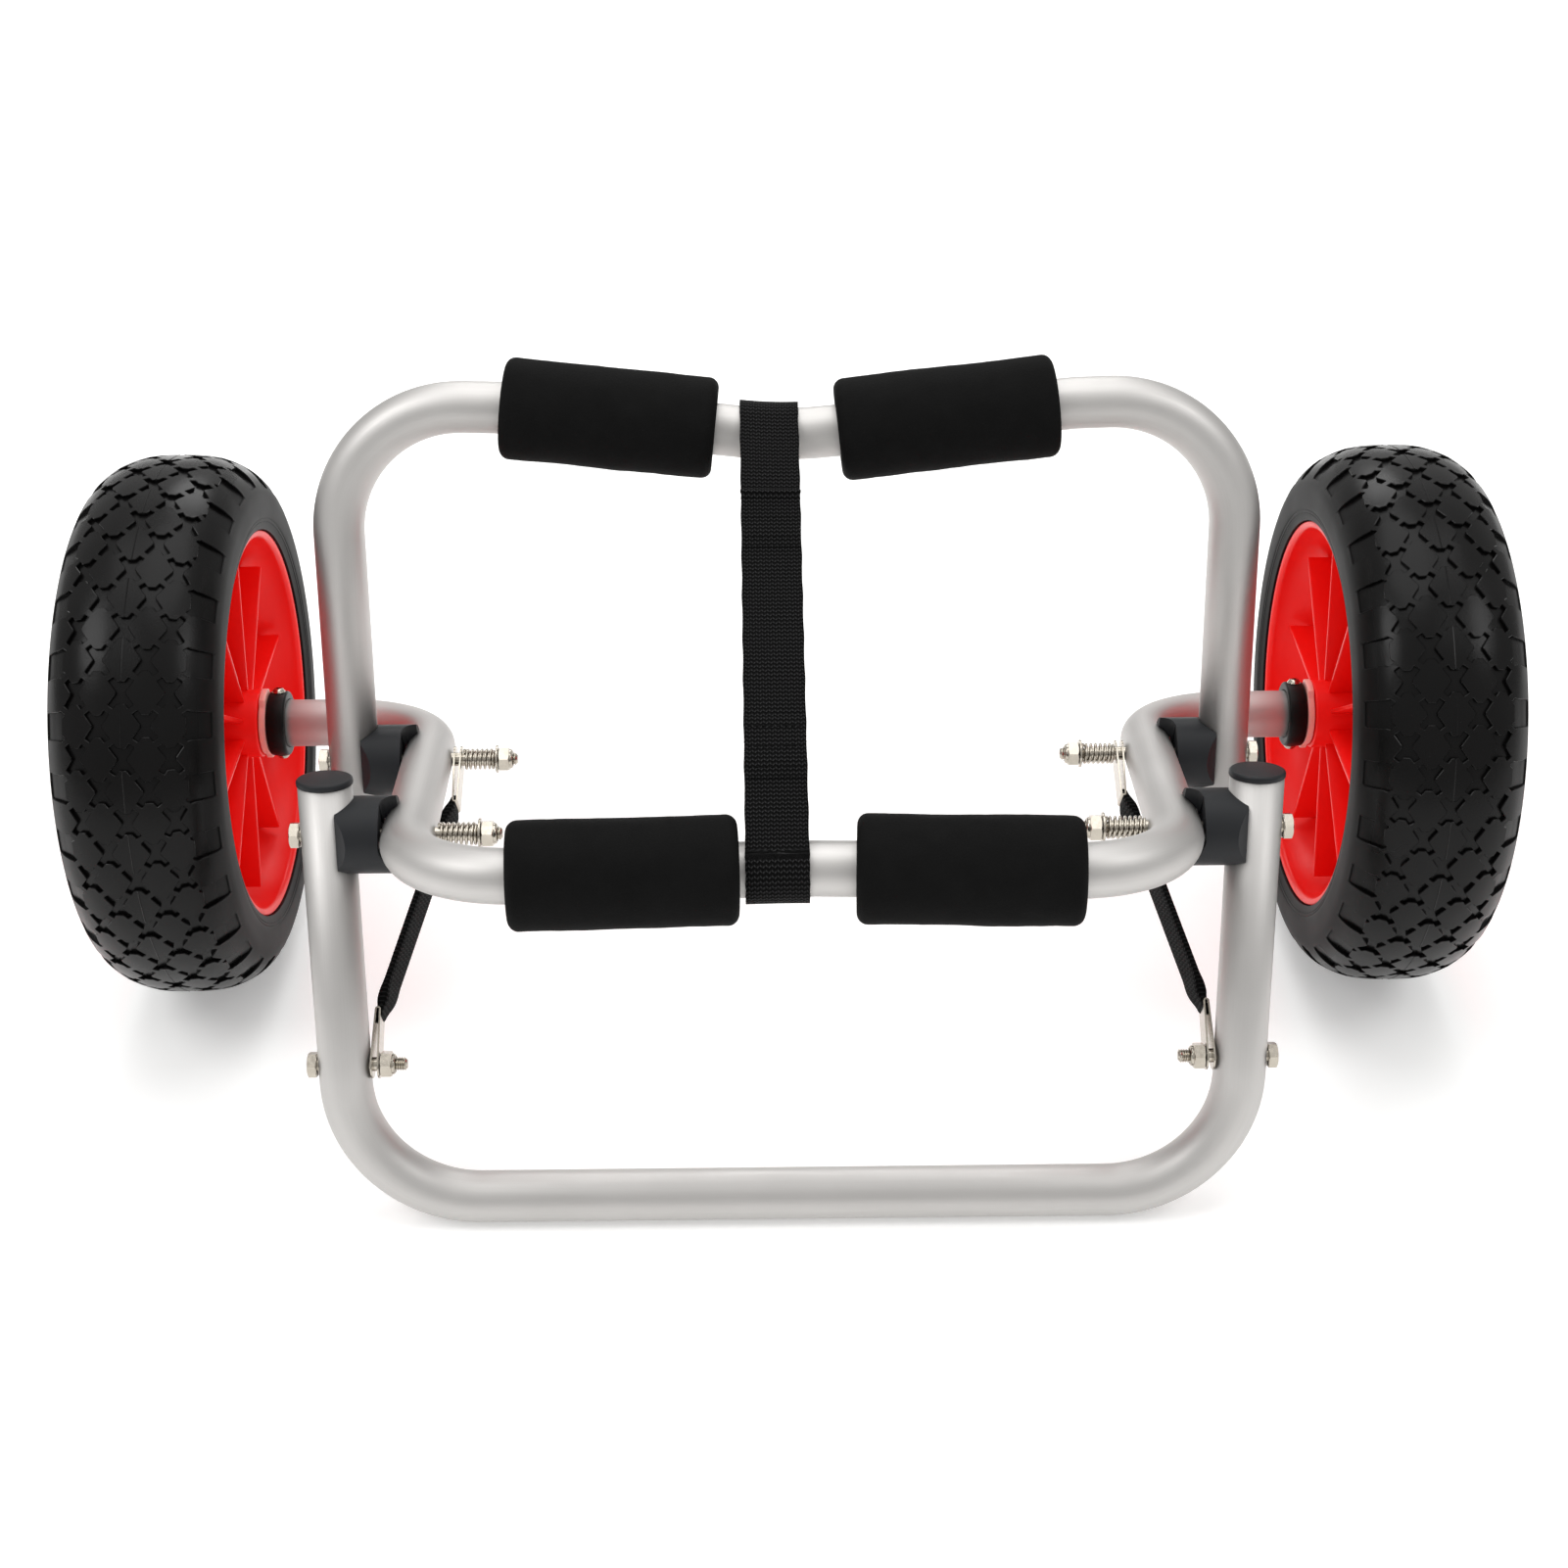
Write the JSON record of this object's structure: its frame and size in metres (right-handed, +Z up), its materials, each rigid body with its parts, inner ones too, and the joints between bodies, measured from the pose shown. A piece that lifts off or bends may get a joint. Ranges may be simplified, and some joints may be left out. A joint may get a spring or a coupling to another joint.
{
  "type": "kayak cart",
  "caption": "Folding kayak cart: bent aluminium axle frame on spoked wheels, with a hinged padded upper frame, a hinged kickstand, hull pads, a centre strap and limit straps.",
  "frame": {"origin": "on the ground, below the middle of the whole cart's bounding box, with the tyres and the kickstand's crossbar standing at Z = 0", "axes": "+X along the axle to the viewer's right, +Y away from the kickstand to the rear, +Z up"},
  "size_m": [0.6384, 0.3518, 0.3173],
  "materials": {
    "aluminium_tube": "satin anodised drawn tube",
    "foam": "matt closed-cell foam, fine-grained",
    "webbing": "woven polypropylene webbing",
    "charcoal_plastic": "moulded nylon, matt",
    "black_plastic": "moulded, satin",
    "stainless_steel": "bright stainless fasteners",
    "tyre_foam": "solid foam tyre, satin skin with diamond tread",
    "red_plastic": "moulded polypropylene, semi-gloss",
    "nylon": "natural translucent nylon"
  },
  "bodies": {
    "axle_frame": {"axle_frame_tube": "aluminium_tube", "front_left_pad": "foam", "front_right_pad": "foam", "centre_strap": "webbing", "left_upper_strap_link": "stainless_steel", "left_limit_strap": "webbing", "left_axle_collar": "black_plastic", "left_collar_screw": "stainless_steel", "left_wheel_pin": "stainless_steel", "left_axle_plug": "charcoal_plastic", "left_inner_hub_washer": "nylon", "left_outer_hub_washer": "nylon", "right_upper_strap_link": "stainless_steel", "right_limit_strap": "webbing", "right_axle_collar": "black_plastic", "right_collar_screw": "stainless_steel", "right_wheel_pin": "stainless_steel", "right_axle_plug": "charcoal_plastic", "right_inner_hub_washer": "nylon", "right_outer_hub_washer": "nylon"},
    "upper_frame": {"upper_frame_tube": "aluminium_tube", "upper_left_pad": "foam", "upper_right_pad": "foam", "rear_left_saddle": "charcoal_plastic", "rear_left_pivot_bolt": "stainless_steel", "rear_left_spring": "stainless_steel", "rear_left_spring_washer": "stainless_steel", "rear_left_lock_nut": "stainless_steel", "rear_left_end_cap": "charcoal_plastic", "rear_right_saddle": "charcoal_plastic", "rear_right_pivot_bolt": "stainless_steel", "rear_right_spring": "stainless_steel", "rear_right_spring_washer": "stainless_steel", "rear_right_lock_nut": "stainless_steel", "rear_right_end_cap": "charcoal_plastic"},
    "kickstand": {"kickstand_tube": "aluminium_tube", "front_left_saddle": "charcoal_plastic", "front_left_pivot_bolt": "stainless_steel", "front_left_spring": "stainless_steel", "front_left_spring_washer": "stainless_steel", "front_left_lock_nut": "stainless_steel", "front_left_end_cap": "charcoal_plastic", "left_strap_bolt": "stainless_steel", "left_strap_nut": "stainless_steel", "left_lower_strap_link": "stainless_steel", "front_right_saddle": "charcoal_plastic", "front_right_pivot_bolt": "stainless_steel", "front_right_spring": "stainless_steel", "front_right_spring_washer": "stainless_steel", "front_right_lock_nut": "stainless_steel", "front_right_end_cap": "charcoal_plastic", "right_strap_bolt": "stainless_steel", "right_strap_nut": "stainless_steel", "right_lower_strap_link": "stainless_steel"},
    "left_wheel": {"left_tyre": "tyre_foam", "left_rim": "red_plastic", "left_hub_bush": "nylon"},
    "right_wheel": {"right_tyre": "tyre_foam", "right_rim": "red_plastic", "right_hub_bush": "nylon"}
  },
  "joints": [
    {"name": "upper_frame_fold", "type": "hinge", "parent": "axle_frame", "child": "upper_frame", "pos_m": [0, -0.00866, 0.14334], "axis": [1, 0, 0], "range_deg": [0, 65], "deforming": ["centre_strap"]},
    {"name": "kickstand_fold", "type": "hinge", "parent": "axle_frame", "child": "kickstand", "pos_m": [0, -0.10563, 0.17089], "axis": [1, 0, 0], "range_deg": [0, 65], "deforming": ["left_limit_strap", "right_limit_strap"]},
    {"name": "left_wheel_spin", "type": "hinge", "parent": "axle_frame", "child": "left_wheel", "pos_m": [0, 0.04886, 0.127], "axis": [1, 0, 0], "continuous": true},
    {"name": "right_wheel_spin", "type": "hinge", "parent": "axle_frame", "child": "right_wheel", "pos_m": [0, 0.04886, 0.127], "axis": [1, 0, 0], "continuous": true}
  ]
}
